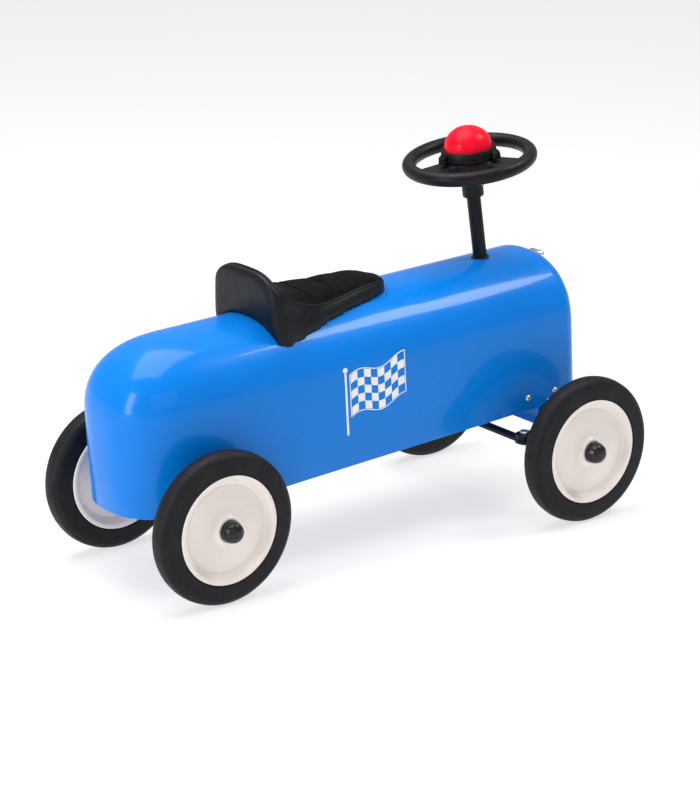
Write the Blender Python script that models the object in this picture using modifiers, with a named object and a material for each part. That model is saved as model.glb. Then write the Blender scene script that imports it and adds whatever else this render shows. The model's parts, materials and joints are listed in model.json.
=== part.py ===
"""A toddler's foot-to-floor racing car with a pressed steel body on four disc wheels.

Metres, +X to the car's nose, +Y to its left, +Z up. The origin is on the ground, under the
middle of the car's bounding box.
"""

import math

import bmesh
import bpy
from mathutils import Matrix, Vector

# ---- driving dimensions -------------------------------------------------------------------
WHEELBASE = 0.475
REAR_X = -0.2375
FRONT_X = REAR_X + WHEELBASE
TYRE_R = 0.085
RIM_R = 0.0607
WHEEL_HALF = 0.0143
HUB_HALF = 0.0133
REAR_TRACK_HALF = 0.1071
FRONT_TRACK_HALF = 0.1440
AXLE_R = 0.005
GAP = 0.0003

# ---- body shell, in its own frame: x along its bottom edge from the rear axle, z up from it --
BODY_PITCH = math.radians(3.3)
BODY_FOOT_Z = 0.095
BODY_HALF = 0.079
BODY_TAIL_X = -0.078
BODY_NOSE_X = 0.524
TAIL_H = 0.177
NOSE_H = 0.164
ARCH_H = 0.076
ARCH_POWER = 2.3
TAIL_LENGTH = 0.100
TAIL_POWER = 2.5
NOSE_EDGE_R = 0.020
NOSE_LIP = 0.010
SHEET = 0.0015

# ---- steering ---------------------------------------------------------------------------------
COLUMN_TILT = math.radians(8.5)
COLUMN_ROOF_X = REAR_X + 0.434
COLUMN_ROOF_Z = 0.2921
COLUMN_R = 0.008
WHEEL_UP = 0.1128
WHEEL_TURN = math.radians(-7)
STEER_R = 0.069
STEER_TUBE_R = 0.008
COLUMN_DOWN = 0.1549
BUSH_R = 0.0102
KINGPIN_Y = 0.091
KINGPIN_R = 0.004
ARM_LENGTH = 0.046
PIVOT_X = FRONT_X - ARM_LENGTH
TIE_ROD_Z = (0.088, 0.092)
CRANK_PIN_R = 0.003

# ---- front axle, rear axle bracket and their screws -------------------------------------------
NOTCH_X = FRONT_X - 0.004
NOTCH_R = 0.0170
NOTCH_Z = 0.1114
BEAM_R = 0.0158
BEAM_HALF = 0.013
BEAM_WALL = 0.0025
BEAM_END = 0.080
BEAM_FOOT_Z = 0.1001
TONGUE_Z = (0.1190, 0.1220)
BAR_Z = (0.0968, 0.0998)
SADDLE_HALF = 0.0771
SADDLE_Z = (0.1280, 0.1545)
REAR_SADDLE_HALF = 0.0725
REAR_SADDLE_Z = (0.0740, 0.1525)
PLATE = 0.002
FRONT_SCREWS = ((REAR_X + 0.444, 0.1348), (REAR_X + 0.484, 0.1366))
REAR_SCREWS = ((REAR_X - 0.008, 0.112), (REAR_X + 0.014, 0.112))
SCREW_R = 0.002
SEAT_BOLTS = (0.150, 0.250)
SEAT_BOLT_R = 0.003

BLUE = (0.0, 0.27, 0.85)
BLACK = (0.016, 0.017, 0.021)
CREAM = (0.66, 0.62, 0.56)
SILVER = (0.72, 0.73, 0.75)


def fresh_scene():
    """Empties the scene and returns the collections for the car's parts and for the cutters."""
    for old in list(bpy.data.objects):
        bpy.data.objects.remove(old, do_unlink=True)
    made = []
    for name in ("ride_on_racer", "cutters"):
        collection = bpy.data.collections.new(name)
        bpy.context.scene.collection.children.link(collection)
        made.append(collection)
    return made


PARTS, CUTTERS = fresh_scene()


def finish(name, colour, roughness, metallic):
    """A Principled material of the given colour, roughness and metallic value."""
    made = bpy.data.materials.new(name)
    made.use_nodes = True
    shader = made.node_tree.nodes["Principled BSDF"]
    shader.inputs["Base Color"].default_value = (*colour, 1.0)
    shader.inputs["Roughness"].default_value = roughness
    shader.inputs["Metallic"].default_value = metallic
    return made


FINISHES = {
    "blue_paint": (BLUE, 0.15, 0.0),
    "black_paint": (BLACK, 0.4, 0.0),
    "black_plastic": (BLACK, 0.45, 0.0),
    "black_vinyl": (BLACK, 0.6, 0.0),
    "tyre_rubber": ((0.02, 0.02, 0.025), 0.7, 0.0),
    "cream_enamel": (CREAM, 0.3, 0.0),
    "red_rubber": ((0.75, 0.01, 0.02), 0.35, 0.0),
    "chrome": (SILVER, 0.12, 1.0),
    "zinc": ((0.6, 0.6, 0.62), 0.35, 1.0),
    "nylon": (BLACK, 0.5, 0.0),
}


def link(obj, colour=None):
    """Puts a part in the car's collection with its own material, or a cutter in the other."""
    if colour is None:
        CUTTERS.objects.link(obj)
        obj.hide_render = True
        obj.display_type = "WIRE"
        return obj
    PARTS.objects.link(obj)
    obj.data.materials.clear()
    obj.data.materials.append(finish(f"{obj.name}_finish", *FINISHES[colour]))
    return obj


def mesh_object(name, mesh, colour=None, matrix=None, smooth=None):
    obj = bpy.data.objects.new(name, mesh)
    if matrix is not None:
        obj.matrix_world = matrix
    if smooth is not None:
        mesh.shade_smooth()
        mesh.set_sharp_from_angle(angle=math.radians(smooth))
    return link(obj, colour)


def block(name, low, high, colour=None, matrix=None):
    """A box between two corners, in the frame that matrix gives."""
    mesh = bpy.data.meshes.new(name)
    shape = bmesh.new()
    size = Vector(high) - Vector(low)
    middle = (Vector(high) + Vector(low)) / 2
    place = Matrix.Translation(middle) @ Matrix.Diagonal((*size, 1.0))
    bmesh.ops.create_cube(shape, size=1.0, matrix=place)
    shape.to_mesh(mesh)
    shape.free()
    return mesh_object(name, mesh, colour, matrix)


def rod(name, start, end, radius, colour=None, segments=24, radius_end=None, matrix=None):
    """A cylinder, or a cone, between two points."""
    start, end = Vector(start), Vector(end)
    along = end - start
    mesh = bpy.data.meshes.new(name)
    shape = bmesh.new()
    turn = along.to_track_quat("Z", "Y").to_matrix().to_4x4()
    place = Matrix.Translation((start + end) / 2) @ turn
    bmesh.ops.create_cone(
        shape,
        cap_ends=True,
        segments=segments,
        radius1=radius,
        radius2=radius if radius_end is None else radius_end,
        depth=along.length,
        matrix=place,
    )
    shape.to_mesh(mesh)
    shape.free()
    return mesh_object(name, mesh, colour, matrix, smooth=40)


def turned(name, profile, colour=None, steps=36, matrix=None, closed=False):
    """A profile of (radius, height) points, top to bottom on the outside, turned about Z."""
    mesh = bpy.data.meshes.new(name)
    shape = bmesh.new()
    row = [shape.verts.new((radius, 0.0, height)) for radius, height in profile]
    pairs = list(zip(row, row[1:]))
    if closed:
        pairs.append((row[-1], row[0]))
    for first, second in pairs:
        shape.edges.new((first, second))
    shape.to_mesh(mesh)
    shape.free()
    obj = mesh_object(name, mesh, colour, matrix)
    screw = obj.modifiers.new("turn", "SCREW")
    screw.axis = "Z"
    screw.angle = 2 * math.pi
    screw.steps = steps
    screw.render_steps = steps
    screw.use_merge_vertices = True
    screw.merge_threshold = 0.00001
    screw.use_smooth_shade = True
    return obj


def combine(obj, operation, *others):
    """Adds a Boolean with each of the other shapes."""
    for other in others:
        step = obj.modifiers.new(other.name, "BOOLEAN")
        step.operation = operation
        step.solver = "EXACT"
        step.object = other
    return obj


def cut(obj, *others):
    return combine(obj, "DIFFERENCE", *others)


def fuse(obj, *others):
    return combine(obj, "UNION", *others)


def loft(name, rings, colour=None, matrix=None, around=False, ends=False, smooth=35):
    """Quads between rows of points; around closes each row, ends caps the first and last."""
    mesh = bpy.data.meshes.new(name)
    shape = bmesh.new()
    rows = [[shape.verts.new(point) for point in ring] for ring in rings]
    count = len(rows[0])
    for first, second in zip(rows, rows[1:]):
        for k in range(count if around else count - 1):
            n = (k + 1) % count
            shape.faces.new((first[k], first[n], second[n], second[k]))
    if ends:
        shape.faces.new(rows[0][::-1])
        shape.faces.new(rows[-1])
    bmesh.ops.remove_doubles(shape, verts=shape.verts, dist=0.00001)
    bmesh.ops.recalc_face_normals(shape, faces=shape.faces)
    shape.to_mesh(mesh)
    shape.free()
    return mesh_object(name, mesh, colour, matrix, smooth=smooth)


def power_arc(count, power):
    """Quarter of a superellipse of unit size, from (1, 0) to (0, 1)."""
    points = []
    for k in range(count + 1):
        angle = math.pi / 2 * k / count
        across = math.cos(angle) ** (2 / power) if k < count else 0.0
        points.append((across, math.sin(angle) ** (2 / power)))
    return points


# ---- the pitched frame of the body --------------------------------------------------------------
BODY_FRAME = Matrix.Translation((REAR_X, 0, BODY_FOOT_Z)) @ Matrix.Rotation(-BODY_PITCH, 4, "Y")


def body_height(x):
    """Height of the roof's crown over the bottom edge."""
    share = (x - BODY_TAIL_X) / (BODY_NOSE_X - BODY_TAIL_X)
    return TAIL_H + (NOSE_H - TAIL_H) * share


def roof_z(x, y):
    """Height of the roof at a point, in the body's frame, along the straight part."""
    share = max(0.0, 1.0 - (abs(y) / BODY_HALF) ** ARCH_POWER)
    return body_height(x) - ARCH_H + ARCH_H * share ** (1 / ARCH_POWER)


def body_wall(x, inset, arc):
    """Points from the bottom edge on the left, over the roof, to the bottom edge on the right."""
    half = BODY_HALF - inset
    spring = body_height(x) - ARCH_H
    left = [(x, half, 0.0)]
    left += [(x, half * across, spring + (ARCH_H - inset) * up) for across, up in arc]
    return left + [(px, -py, pz) for px, py, pz in left[-2::-1]]


def make_body():
    arc = power_arc(11, ARCH_POWER)
    tail_x = BODY_TAIL_X + TAIL_LENGTH
    straight_end = BODY_NOSE_X - NOSE_EDGE_R
    barrel = []
    stations = 7
    for k in range(stations + 1):
        barrel.append(body_wall(tail_x + (straight_end - tail_x) * k / stations, 0.0, arc))
    for k in range(1, 5):
        angle = math.pi / 2 * k / 4
        x = straight_end + NOSE_EDGE_R * math.sin(angle)
        barrel.append(body_wall(x, NOSE_EDGE_R * (1 - math.cos(angle)), arc))
    barrel.append(body_wall(BODY_NOSE_X, NOSE_EDGE_R + NOSE_LIP, arc))

    plan = power_arc(8, TAIL_POWER)
    spring = body_height(tail_x) - ARCH_H
    tail = []
    for side, back in plan + [(-side, back) for side, back in plan[-2::-1]]:
        row = [(tail_x - TAIL_LENGTH * back, BODY_HALF * side, 0.0)]
        for across, up in arc:
            x = tail_x - TAIL_LENGTH * back * across
            row.append((x, BODY_HALF * side * across, spring + ARCH_H * up))
        tail.append(row)

    mesh = bpy.data.meshes.new("body_shell")
    shape = bmesh.new()
    for rows in (barrel, tail):
        made = [[shape.verts.new(point) for point in row] for row in rows]
        for first, second in zip(made, made[1:]):
            for k in range(len(first) - 1):
                shape.faces.new((first[k], second[k], second[k + 1], first[k + 1]))
    bmesh.ops.remove_doubles(shape, verts=shape.verts, dist=0.00001)
    bmesh.ops.dissolve_degenerate(shape, dist=0.00001, edges=shape.edges)
    bmesh.ops.recalc_face_normals(shape, faces=shape.faces)
    shape.to_mesh(mesh)
    shape.free()
    shell = mesh_object("body_shell", mesh, "blue_paint", BODY_FRAME, smooth=50)
    wall = shell.modifiers.new("sheet", "SOLIDIFY")
    wall.thickness = SHEET
    wall.offset = -1.0
    wall.use_even_offset = True

    for number, (x, z) in enumerate(FRONT_SCREWS + REAR_SCREWS):
        name = f"side_screw_cutter_{number}"
        cut(shell, rod(name, (x, -0.09, z), (x, 0.09, z), SCREW_R + GAP, segments=12))
    for number, x in enumerate(SEAT_BOLTS):
        crown = body_height(x)
        name = f"seat_bolt_cutter_{number}"
        ends = ((x, 0, crown - 0.01), (x, 0, crown + 0.0085))
        hole = rod(name, *ends, SEAT_BOLT_R + GAP, segments=12, matrix=BODY_FRAME)
        cut(shell, hole)
        cut(bpy.data.objects["seat"], hole)
    column = rod("roof_hole_cutter", (0, 0, -0.02), (0, 0, 0.02), BUSH_R + GAP, matrix=STEER_FRAME)
    ends = ((NOTCH_X, -0.1, NOTCH_Z), (NOTCH_X, 0.1, NOTCH_Z))
    cut(shell, column, rod("notch_cutter", *ends, NOTCH_R, segments=28))


# ---- seat ---------------------------------------------------------------------------------------
# Each station is its place along the body, its half width and its rise over the crown.
SEAT_STATIONS = (
    (0.1135, 0.0560, 0.0490),
    (0.1160, 0.0605, 0.0535),
    (0.1240, 0.0635, 0.0535),
    (0.1340, 0.0640, 0.0400),
    (0.1480, 0.0620, 0.0250),
    (0.1650, 0.0580, 0.0170),
    (0.1900, 0.0520, 0.0145),
    (0.2200, 0.0450, 0.0150),
    (0.2500, 0.0385, 0.0160),
    (0.2700, 0.0350, 0.0158),
    (0.2820, 0.0300, 0.0145),
    (0.2905, 0.0235, 0.0122),
    (0.2965, 0.0150, 0.0090),
    (0.2995, 0.0065, 0.0055),
)
SEAT_LIFT = 0.0006


def make_seat():
    rings = []
    for x, half, rise in SEAT_STATIONS:
        foot = roof_z(x, half) - 0.004
        ring = [(x, -half, foot), (x, 0.0, foot), (x, half, foot)]
        drops = ((1.0, min(0.008, rise / 2)), (0.95, min(0.003, rise / 5)), (0.7, 0.0004), (0.3, 0.0))
        top = body_height(x) + rise
        for share, drop in drops:
            ring.append((x, half * share, top - drop))
        for share, drop in drops[::-1]:
            ring.append((x, -half * share, top - drop))
        rings.append(ring)
    seat = loft("seat", rings, "black_vinyl", BODY_FRAME, around=True, ends=True)
    arc = power_arc(11, ARCH_POWER)
    under = [body_wall(x, -SEAT_LIFT, arc) for x in (0.10, 0.33)]
    cut(seat, loft("seat_underside_cutter", under, matrix=BODY_FRAME, around=True, ends=True))
    for number, x in enumerate(SEAT_BOLTS):
        under = body_height(x) - SHEET - 3 * GAP
        bolt = rod(
            f"seat_bolt_{number + 1}",
            (x, 0, under - 0.0035),
            (x, 0, under),
            0.0065,
            "zinc",
            segments=12,
            matrix=BODY_FRAME,
        )
        shank_ends = ((x, 0, under - 0.002), (x, 0, under + 0.008))
        name = f"seat_bolt_shank_{number}"
        fuse(bolt, rod(name, *shank_ends, SEAT_BOLT_R, segments=12, matrix=BODY_FRAME))


# ---- grille on the nose -------------------------------------------------------------------------
def arch_outline(x, inset, foot):
    """The nose's outline drawn in by inset, closed along a level line at foot."""
    wall = body_wall(x, inset, power_arc(8, ARCH_POWER))
    return [(px, py, max(pz, foot)) for px, py, pz in wall]


def arch_slab(name, back_x, front_x, inset, foot, colour=None, chamfer=0.0):
    rings = [arch_outline(BODY_NOSE_X, inset, foot)]
    if chamfer:
        rings.append(rings[0])
        rings.append(arch_outline(BODY_NOSE_X, inset + chamfer, foot + chamfer))
        places = (back_x, front_x - chamfer, front_x)
    else:
        rings.append(rings[0])
        places = (back_x, front_x)
    rings = [[(x, py, pz) for _, py, pz in ring] for x, ring in zip(places, rings)]
    return loft(name, rings, colour, BODY_FRAME, around=True, ends=True)


def make_grille():
    face = BODY_NOSE_X + GAP
    bars = arch_slab("grille_bars", face, face + 0.0025, 0.026, 0.008, "chrome")
    spacing = 0.0105
    for number in range(-3, 4):
        middle = spacing * number
        tall = 0.104 - 0.9 * abs(middle)
        name = f"grille_slot_cutter_{number + 3}"
        low = (face - 0.01, middle - 0.003, 0.022)
        high = (face + 0.01, middle + 0.003, 0.022 + tall)
        cut(bars, block(name, low, high, matrix=BODY_FRAME))
    front = face + 0.0025 + GAP
    surround = arch_slab("grille_surround", front, front + 0.007, 0.022, 0.005, "chrome", 0.002)
    cut(surround, arch_slab("grille_opening_cutter", front - 0.01, front + 0.02, 0.034, 0.017))
    top = body_height(BODY_NOSE_X) - 0.022 + GAP
    low = (BODY_NOSE_X + 2 * GAP, -0.012, top)
    cap = block("grille_cap", low, (front + 0.007, 0.012, top + 0.0145), "chrome", BODY_FRAME)
    rounding = cap.modifiers.new("rounding", "BEVEL")
    rounding.width = 0.004
    rounding.segments = 3


# ---- steering column, wheel and horn --------------------------------------------------------------
STEER_FRAME = Matrix.Translation((COLUMN_ROOF_X, 0, COLUMN_ROOF_Z)) @ Matrix.Rotation(
    -COLUMN_TILT, 4, "Y"
)
WHEEL_FRAME = STEER_FRAME @ Matrix.Translation((0, 0, WHEEL_UP)) @ Matrix.Rotation(WHEEL_TURN, 4, "Z")
SPOKES = (math.radians(180), math.radians(60), math.radians(-60))
LUG_R = 0.033
HORN_FLOOR = 0.0038


def polar(radius, angle, height):
    return (radius * math.cos(angle), radius * math.sin(angle), height)


def make_column():
    ends = ((0, 0, -COLUMN_DOWN), (0, 0, WHEEL_UP - 0.007))
    rod("steering_column", *ends, COLUMN_R, "black_paint", matrix=STEER_FRAME)
    inner = COLUMN_R + GAP
    for name, low, high in (
        ("column_upper_bush", -0.0120, -0.0045),
        ("column_lower_bush", -0.1452, -0.1352),
    ):
        profile = ((inner, high), (BUSH_R, high), (BUSH_R, low), (inner, low))
        turned(name, profile, "nylon", steps=24, matrix=STEER_FRAME, closed=True)

    top = -COLUMN_DOWN - GAP
    reach = (COLUMN_ROOF_X - PIVOT_X) / math.cos(COLUMN_TILT) - math.tan(COLUMN_TILT) * top
    crank = rod("steering_crank", (0, 0, top - 0.004), (0, 0, top), 0.009, "zinc", 20, matrix=STEER_FRAME)
    low = (-reach, -0.006, top - 0.004)
    fuse(crank, block("crank_bar", low, (0, 0.006, top), matrix=STEER_FRAME))
    tip = ((-reach, 0, top - 0.004), (-reach, 0, top))
    fuse(crank, rod("crank_tip", *tip, 0.006, segments=16, matrix=STEER_FRAME))
    tip_z = (STEER_FRAME @ Vector((-reach, 0, top - 0.001))).z
    pin = ((PIVOT_X, 0, TIE_ROD_Z[0] - 0.005), (PIVOT_X, 0, tip_z))
    fuse(crank, rod("crank_pin", *pin, CRANK_PIN_R, segments=16))


def make_steering_wheel():
    circle = []
    for k in range(12):
        angle = 2 * math.pi * (k + 0.5) / 12
        up = STEER_TUBE_R * math.sin(angle)
        circle.append((STEER_R + STEER_TUBE_R * math.cos(angle), up))
    wheel = turned("steering_wheel", circle[::-1], "black_plastic", 40, WHEEL_FRAME, closed=True)
    for number, angle in enumerate(SPOKES):
        turn = WHEEL_FRAME @ Matrix.Rotation(angle, 4, "Z")
        low = (0.015, -0.015, -0.0045)
        fuse(wheel, block(f"spoke_{number}", low, (0.066, 0.015, 0.0005), matrix=turn))
        under = ((LUG_R, 0, -0.0195), (LUG_R, 0, -0.003))
        fuse(wheel, rod(f"spoke_boss_{number}", *under, 0.0055, segments=12, matrix=turn))
    fuse(wheel, rod("hub_disc", (0, 0, -0.013), (0, 0, 0.0035), 0.033, segments=32, matrix=WHEEL_FRAME))
    fuse(wheel, rod("collar", (0, 0, -0.044), (0, 0, -0.012), 0.0125, matrix=WHEEL_FRAME))
    bore = ((0, 0, -0.05), (0, 0, -0.0065))
    cut(wheel, rod("column_bore_cutter", *bore, COLUMN_R + GAP, matrix=WHEEL_FRAME))
    angle = SPOKES[2]
    hole = (polar(0.005, angle, -0.028), polar(0.02, angle, -0.028))
    cut(wheel, rod("collar_hole_cutter", *hole, 0.0021, segments=12, matrix=WHEEL_FRAME))
    head = (polar(0.0129, angle, -0.028), polar(0.0153, angle, -0.028))
    screw = rod("collar_screw", *head, 0.0032, "zinc", 12, 0.0024, WHEEL_FRAME)
    shank = (polar(0.0086, angle, -0.028), polar(0.0135, angle, -0.028))
    fuse(screw, rod("collar_screw_shank", *shank, 0.0018, segments=10, matrix=WHEEL_FRAME))


def make_horn():
    floor = HORN_FLOOR + 0.0022
    cup = (
        (0.0, floor),
        (0.0278, floor),
        (0.0278, 0.0155),
        (0.0305, 0.0155),
        (0.0325, HORN_FLOOR),
        (0.0, HORN_FLOOR),
    )
    base = turned("horn_base", cup, "black_plastic", 36, WHEEL_FRAME)
    for number, angle in enumerate(SPOKES):
        lug = (polar(LUG_R, angle, HORN_FLOOR), polar(LUG_R, angle, 0.0120))
        fuse(base, rod(f"horn_lug_{number}", *lug, 0.0050, segments=16, matrix=WHEEL_FRAME))
    for number, angle in enumerate(SPOKES):
        hole = (polar(LUG_R + 0.0018, angle, 0.0075), polar(LUG_R + 0.0018, angle, 0.02))
        cut(base, rod(f"horn_hole_cutter_{number}", *hole, 0.0016, segments=10, matrix=WHEEL_FRAME))
        head = (polar(LUG_R + 0.0018, angle, 0.0123), polar(LUG_R + 0.0018, angle, 0.0140))
        name = f"horn_screw_{number + 1}"
        screw = rod(name, *head, 0.0032, "black_paint", 12, 0.0024, WHEEL_FRAME)
        shank = (polar(LUG_R + 0.0018, angle, 0.0080), polar(LUG_R + 0.0018, angle, 0.0130))
        name = f"horn_shank_{number}"
        fuse(screw, rod(name, *shank, 0.0013, segments=10, matrix=WHEEL_FRAME))
    outer = (
        (0.0, 0.0385),
        (0.0080, 0.0379),
        (0.0152, 0.0355),
        (0.0215, 0.0308),
        (0.0255, 0.0245),
        (0.0272, 0.0175),
        (0.0272, 0.0135),
    )
    inner = ((0.0250, 0.0135), (0.0250, 0.0175), (0.0195, 0.0285), (0.0110, 0.0340), (0.0, 0.0360))
    turned("horn_bulb", outer + inner, "red_rubber", 32, WHEEL_FRAME)
    reed = ((0, 0, floor + GAP), (0, 0, floor + 0.004))
    rod("horn_reed", *reed, 0.007, "nylon", 16, matrix=WHEEL_FRAME)


# ---- front axle and steering linkage ----------------------------------------------------------------
def make_front_axle():
    rise = math.sqrt(BEAM_R**2 - BEAM_HALF**2)
    spread = math.atan2(BEAM_HALF, rise)
    inner_r = BEAM_R - BEAM_WALL
    inner_half = BEAM_HALF - BEAM_WALL
    inner_spread = math.atan2(inner_half, math.sqrt(inner_r**2 - inner_half**2))
    outline = [(-BEAM_HALF, BEAM_FOOT_Z)]
    for k in range(7):
        angle = spread * (k / 3 - 1)
        outline.append((BEAM_R * math.sin(angle), NOTCH_Z + BEAM_R * math.cos(angle)))
    outline += [(BEAM_HALF, BEAM_FOOT_Z), (inner_half, BEAM_FOOT_Z)]
    for k in range(7):
        angle = inner_spread * (1 - k / 3)
        outline.append((inner_r * math.sin(angle), NOTCH_Z + inner_r * math.cos(angle)))
    outline.append((-inner_half, BEAM_FOOT_Z))
    rings = []
    for y in (-BEAM_END, BEAM_END):
        rings.append([(NOTCH_X + x, y, z) for x, z in outline])
    beam = loft("front_axle_beam", rings, "blue_paint", around=True, ends=True)
    low = (FRONT_X - 0.009, -KINGPIN_Y, BAR_Z[0])
    bar = block("front_axle_bar", low, (FRONT_X + 0.009, KINGPIN_Y, BAR_Z[1]), "black_paint")
    for side, word in ((-1, "right"), (1, "left")):
        pin = side * KINGPIN_Y
        low = (FRONT_X - 0.009, min(side * 0.070, pin), TONGUE_Z[0])
        high = (FRONT_X + 0.009, max(side * 0.070, pin), TONGUE_Z[1])
        fuse(beam, block(f"tongue_{word}", low, high))
        ends = ((FRONT_X, pin, TONGUE_Z[0]), (FRONT_X, pin, TONGUE_Z[1]))
        fuse(beam, rod(f"tongue_end_{word}", *ends, 0.009, segments=20))
        ends = ((FRONT_X, pin, BAR_Z[0]), (FRONT_X, pin, BAR_Z[1]))
        fuse(bar, rod(f"bar_end_{word}", *ends, 0.009, segments=20))
        through = ((FRONT_X, pin, 0.08), (FRONT_X, pin, 0.14))
        bore = rod(f"kingpin_bore_cutter_{word}", *through, KINGPIN_R + GAP, segments=16)
        cut(beam, bore)
        cut(bar, bore)
        make_kingpin(word, pin)
        make_knuckle(word, side, bore)


def make_kingpin(word, pin):
    top = TONGUE_Z[1] + GAP
    head = ((FRONT_X, pin, top), (FRONT_X, pin, top + 0.0055))
    bolt = rod(f"kingpin_{word}", *head, 0.0085, "black_plastic", 20, 0.006)
    shank = ((FRONT_X, pin, 0.0915), (FRONT_X, pin, top + 0.001))
    fuse(bolt, rod(f"kingpin_shank_{word}", *shank, KINGPIN_R, segments=16))
    ends = ((FRONT_X, pin, BAR_Z[0] - GAP - 0.004), (FRONT_X, pin, BAR_Z[0] - GAP))
    nut = rod(f"kingpin_nut_{word}", *ends, 0.0065, "zinc", 6)
    through = ((FRONT_X, pin, 0.085), (FRONT_X, pin, 0.1))
    name = f"kingpin_nut_cutter_{word}"
    cut(nut, rod(name, *through, KINGPIN_R + GAP, segments=16))


def make_knuckle(word, side, bore):
    """A fork arm on the kingpin: a drop plate for the stub axle, and a steering arm behind."""
    pin = side * KINGPIN_Y
    out = side * (FRONT_TRACK_HALF - HUB_HALF - 2 * GAP)
    ends = ((FRONT_X, pin, BAR_Z[1] + 2 * GAP), (FRONT_X, pin, TONGUE_Z[0] - 2 * GAP))
    knuckle = rod(f"knuckle_{word}", *ends, 0.009, "black_paint", 20)

    def piece(label, x0, x1, y0, y1, z0, z1):
        low = (FRONT_X + x0, min(side * y0, side * y1), z0)
        high = (FRONT_X + x1, max(side * y0, side * y1), z1)
        fuse(knuckle, block(f"knuckle_{label}_{word}", low, high))

    piece("web", -0.007, 0.007, KINGPIN_Y, 0.106, 0.1035, 0.1150)
    piece("drop", -0.010, 0.010, 0.1035, 0.1080, 0.0755, 0.1150)
    piece("arm", -0.024, 0.000, KINGPIN_Y - 0.002, KINGPIN_Y + 0.007, 0.1035, 0.1095)
    piece("step", -0.025, -0.019, KINGPIN_Y - 0.002, KINGPIN_Y + 0.007, 0.0925, 0.1095)
    piece("lever", -ARM_LENGTH, -0.019, KINGPIN_Y - 0.006, KINGPIN_Y + 0.006, 0.0925, 0.0985)
    boss = ((FRONT_X, side * 0.1070, TYRE_R), (FRONT_X, out, TYRE_R))
    fuse(knuckle, rod(f"knuckle_boss_{word}", *boss, 0.009, segments=20))
    eye = ((PIVOT_X, pin, 0.0925), (PIVOT_X, pin, 0.0985))
    fuse(knuckle, rod(f"knuckle_eye_{word}", *eye, 0.010, segments=20))
    cut(knuckle, bore)
    through = ((FRONT_X, side * 0.095, TYRE_R), (FRONT_X, side * 0.14, TYRE_R))
    cut(knuckle, rod(f"stub_bore_cutter_{word}", *through, AXLE_R + GAP, segments=20))
    through = ((PIVOT_X, pin, 0.09), (PIVOT_X, pin, 0.11))
    cut(knuckle, rod(f"eye_hole_cutter_{word}", *through, 0.0028, segments=12))

    ends = ((FRONT_X, side * 0.1000, TYRE_R), (FRONT_X, side * 0.1032, TYRE_R))
    stub = rod(f"stub_axle_{word}", *ends, 0.0075, "zinc", 6)
    ends = ((FRONT_X, side * 0.1010, TYRE_R), (FRONT_X, side * 0.1603, TYRE_R))
    fuse(stub, rod(f"stub_shank_{word}", *ends, AXLE_R, segments=20))

    rivet = rod(f"tie_rod_rivet_{word}", (PIVOT_X, pin, 0.0988), (PIVOT_X, pin, 0.1018), 0.0052, "zinc", 12)
    ends = ((PIVOT_X, pin, 0.0860), (PIVOT_X, pin, 0.1000))
    fuse(rivet, rod(f"rivet_shank_{word}", *ends, 0.0025, segments=12))
    ends = ((PIVOT_X, pin, 0.0848), (PIVOT_X, pin, TIE_ROD_Z[0] - GAP))
    fuse(rivet, rod(f"rivet_foot_{word}", *ends, 0.0045, segments=12))


def make_tie_rod():
    """A flat bar between the steering arms, with a slot for the crank's pin at its middle."""
    low = (PIVOT_X - 0.006, -KINGPIN_Y, TIE_ROD_Z[0])
    tie_rod = block("tie_rod", low, (PIVOT_X + 0.006, KINGPIN_Y, TIE_ROD_Z[1]), "black_paint")
    for name, y, radius in (
        ("right", -KINGPIN_Y, 0.0105),
        ("left", KINGPIN_Y, 0.0105),
        ("middle", 0.0, 0.0115),
    ):
        ends = ((PIVOT_X, y, TIE_ROD_Z[0]), (PIVOT_X, y, TIE_ROD_Z[1]))
        fuse(tie_rod, rod(f"tie_rod_{name}", *ends, radius, segments=20))
    for name, y, radius in (("right", -KINGPIN_Y, 0.0028), ("left", KINGPIN_Y, 0.0032)):
        through = ((PIVOT_X, y, 0.08), (PIVOT_X, y, 0.1))
        cut(tie_rod, rod(f"tie_rod_hole_cutter_{name}", *through, radius, segments=12))
    slot = (CRANK_PIN_R + 0.0018, CRANK_PIN_R + 0.0007)
    low = (PIVOT_X - slot[0], -slot[1], 0.08)
    cut(tie_rod, block("tie_rod_slot_cutter", low, (PIVOT_X + slot[0], slot[1], 0.1)))


# ---- brackets and their screws --------------------------------------------------------------------
def saddle(name, x_range, half, z_range, colour):
    """A pressed saddle: a plate across the body with a flange down each side."""
    low = (x_range[0], -half, z_range[1] - PLATE)
    made = block(name, low, (x_range[1], half, z_range[1]), colour)
    for side, word in ((-1, "right"), (1, "left")):
        inner = half - PLATE
        low = (x_range[0], min(side * inner, side * half), z_range[0])
        high = (x_range[1], max(side * inner, side * half), z_range[1])
        fuse(made, block(f"{name}_flange_{word}", low, high))
    return made


def make_side_screws(label, places, saddle_part, inner):
    """Pan-head screws through the body's sides into a saddle's flanges."""
    for number, (x, z) in enumerate(places):
        name = f"{label}_hole_cutter_{number}"
        through = ((x, -0.09, z), (x, 0.09, z))
        cut(saddle_part, rod(name, *through, SCREW_R + GAP, segments=12))
        for side, word in ((-1, "right"), (1, "left")):
            face = side * (BODY_HALF + GAP)
            head = ((x, face, z), (x, face + side * 0.0024, z))
            screw = rod(f"{label}_screw_{word}_{number + 1}", *head, 0.0037, "zinc", 12, 0.0026)
            shank = ((x, side * inner, z), (x, face + side * 0.001, z))
            fuse(screw, rod(f"{label}_shank_{word}_{number}", *shank, SCREW_R, segments=12))


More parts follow.
